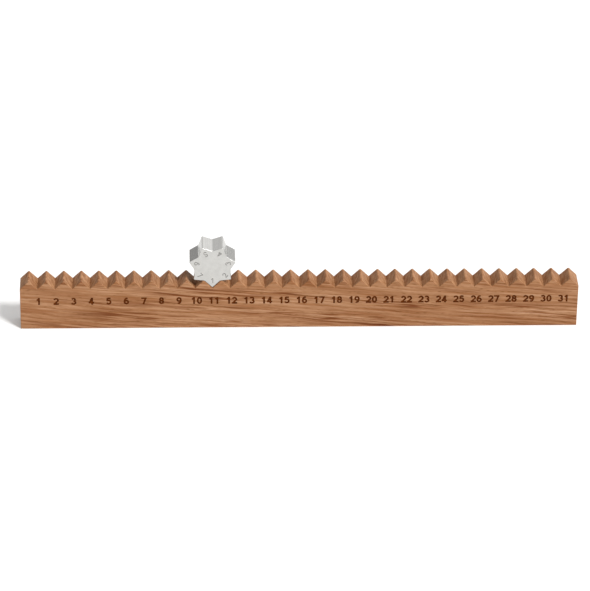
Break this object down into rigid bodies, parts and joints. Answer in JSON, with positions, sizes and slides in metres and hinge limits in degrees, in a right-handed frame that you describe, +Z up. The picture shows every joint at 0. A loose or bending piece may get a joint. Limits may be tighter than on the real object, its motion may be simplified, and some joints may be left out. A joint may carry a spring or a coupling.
{
  "type": "perpetual calendar",
  "caption": "Desk perpetual calendar: a notched oak bar with the dates along its face and a loose aluminium star cog that rolls on by one notch a day to show date and weekday.",
  "frame": {"origin": "middle of the bar's underside, on the surface that it stands on", "axes": "+X along the bar from the first date to the last, +Y from the numbered face to the back, +Z up"},
  "size_m": [0.4, 0.018, 0.0657],
  "materials": {
    "oak": "sawn and sanded oak, oiled to a warm mid brown, with burnt numerals",
    "aluminium": "cast aluminium with a pale satin skin and broken edges"
  },
  "bodies": {
    "rack": {"rack": "oak"},
    "cog": {"cog": "aluminium"}
  },
  "joints": [
    {"name": "cog_roll", "type": "hinge", "parent": "rack", "child": "cog", "pos_m": [-0.05625, 0, 0.03749], "axis": [0, 1, 0], "range_deg": [0, 51.43]}
  ]
}
